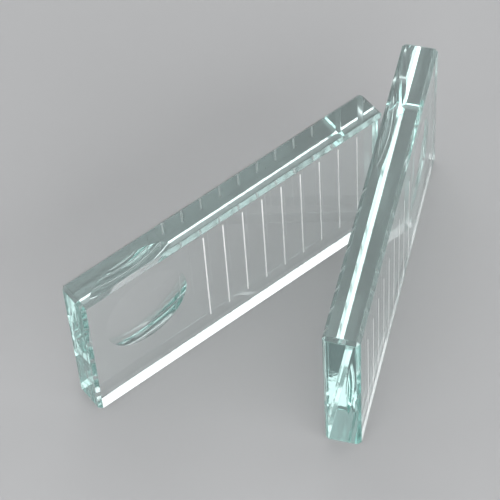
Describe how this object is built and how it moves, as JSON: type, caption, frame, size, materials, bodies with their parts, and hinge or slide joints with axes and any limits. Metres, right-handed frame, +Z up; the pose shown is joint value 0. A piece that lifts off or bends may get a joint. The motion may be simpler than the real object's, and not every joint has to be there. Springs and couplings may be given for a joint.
{
  "type": "ruled glass counting block pair",
  "caption": "Matched pair of clear glass blocks with ruled white lines on one broad face and a round shallow well in the other, standing on edge in a V.",
  "frame": {"origin": "centre of block A's resting face, on the bench", "axes": "+Z up; +X along block A from its well end; -Y out of block A's ruled face"},
  "size_m": [0.1258, 0.0683, 0.05],
  "materials": {
    "optical_glass": "clear polished plate glass with a faint green edge tint, all faces and bevels polished",
    "white_enamel": "fine white fired enamel, wiped flush with the glass"
  },
  "bodies": {
    "block_a": {"glass_block_a": "optical_glass", "line_fill_a1": "white_enamel", "line_fill_a2": "white_enamel", "line_fill_a3": "white_enamel", "line_fill_a4": "white_enamel", "line_fill_a5": "white_enamel", "line_fill_a6": "white_enamel", "line_fill_a7": "white_enamel", "line_fill_a8": "white_enamel", "line_fill_a9": "white_enamel"},
    "block_b": {"glass_block_b": "optical_glass", "line_fill_b1": "white_enamel", "line_fill_b2": "white_enamel", "line_fill_b3": "white_enamel", "line_fill_b4": "white_enamel", "line_fill_b5": "white_enamel", "line_fill_b6": "white_enamel", "line_fill_b7": "white_enamel", "line_fill_b8": "white_enamel", "line_fill_b9": "white_enamel"}
  },
  "joints": [
    {"name": "block_b_lift", "type": "slide", "parent": "block_a", "child": "block_b", "axis": [0, 0, 1], "range_m": [0, 0.065]}
  ]
}
